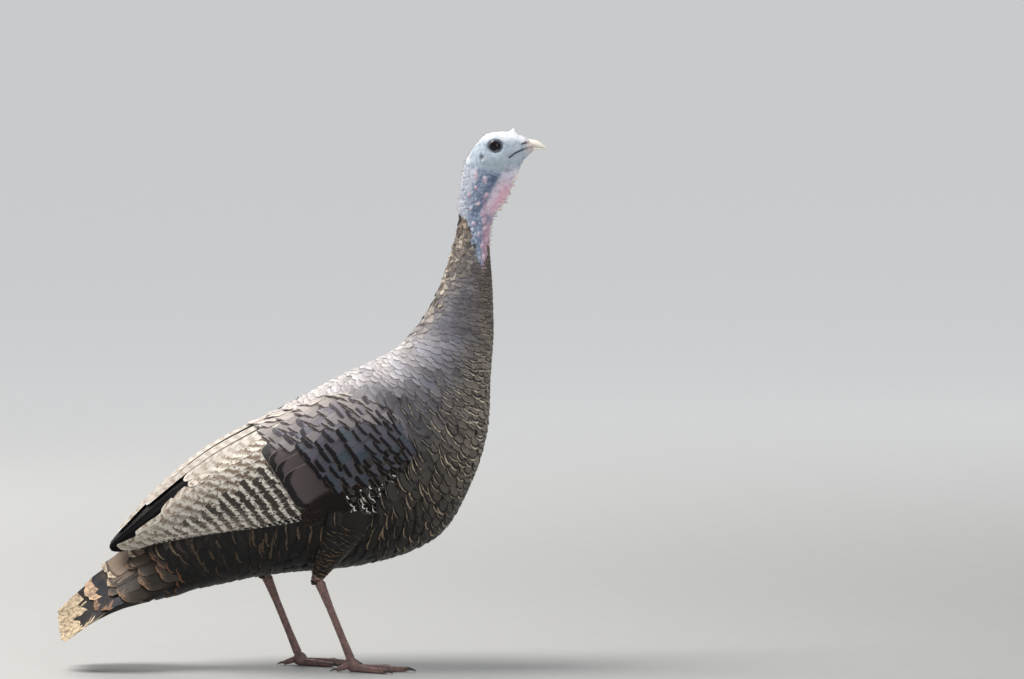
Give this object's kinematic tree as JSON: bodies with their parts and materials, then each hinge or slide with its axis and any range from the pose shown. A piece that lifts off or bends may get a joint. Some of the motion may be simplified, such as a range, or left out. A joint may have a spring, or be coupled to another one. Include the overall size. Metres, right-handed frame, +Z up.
{
  "type": "wild turkey hen",
  "caption": "Life-size wild turkey hen standing alert, with bare head and neck, folded wings, lowered tail and scaled legs.",
  "frame": {"origin": "on the floor, under the middle of the model's box", "axes": "+X the way the bird faces, +Y to its left, +Z up"},
  "size_m": [0.5784, 0.218, 0.6388],
  "materials": {
    "body_feathers": "smooth overlapping feathers, grey-brown with dark bars and buff edges",
    "wing_feathers": "smooth feathers, grey-brown with black bands and white-barred quills",
    "tail_feathers": "dark barred chestnut with pale buff tips",
    "bare_skin": "bare blue-grey skin with pink and pale bumps",
    "bill": "satin pale horn",
    "eye": "wet, dark brown",
    "leg_scales": "reddish grey scutes",
    "claw": "satin dark horn"
  },
  "bodies": {
    "root": {"bill_lower": "bill", "bill_upper": "bill", "claw_hind_left": "claw", "claw_hind_right": "claw", "claw_inner_left": "claw", "claw_inner_right": "claw", "claw_middle_left": "claw", "claw_middle_right": "claw", "claw_outer_left": "claw", "claw_outer_right": "claw", "eye_left": "eye", "eye_right": "eye", "foot_left": "leg_scales", "foot_right": "leg_scales", "head": "bare_skin", "neck": "body_feathers", "neck_bare": "bare_skin", "shank_left": "leg_scales", "shank_right": "leg_scales", "snood": "bare_skin", "tail": "tail_feathers", "thigh_left": "body_feathers", "thigh_right": "body_feathers", "trunk": "body_feathers", "wing_left": "wing_feathers", "wing_right": "wing_feathers"}
  },
  "joints": []
}
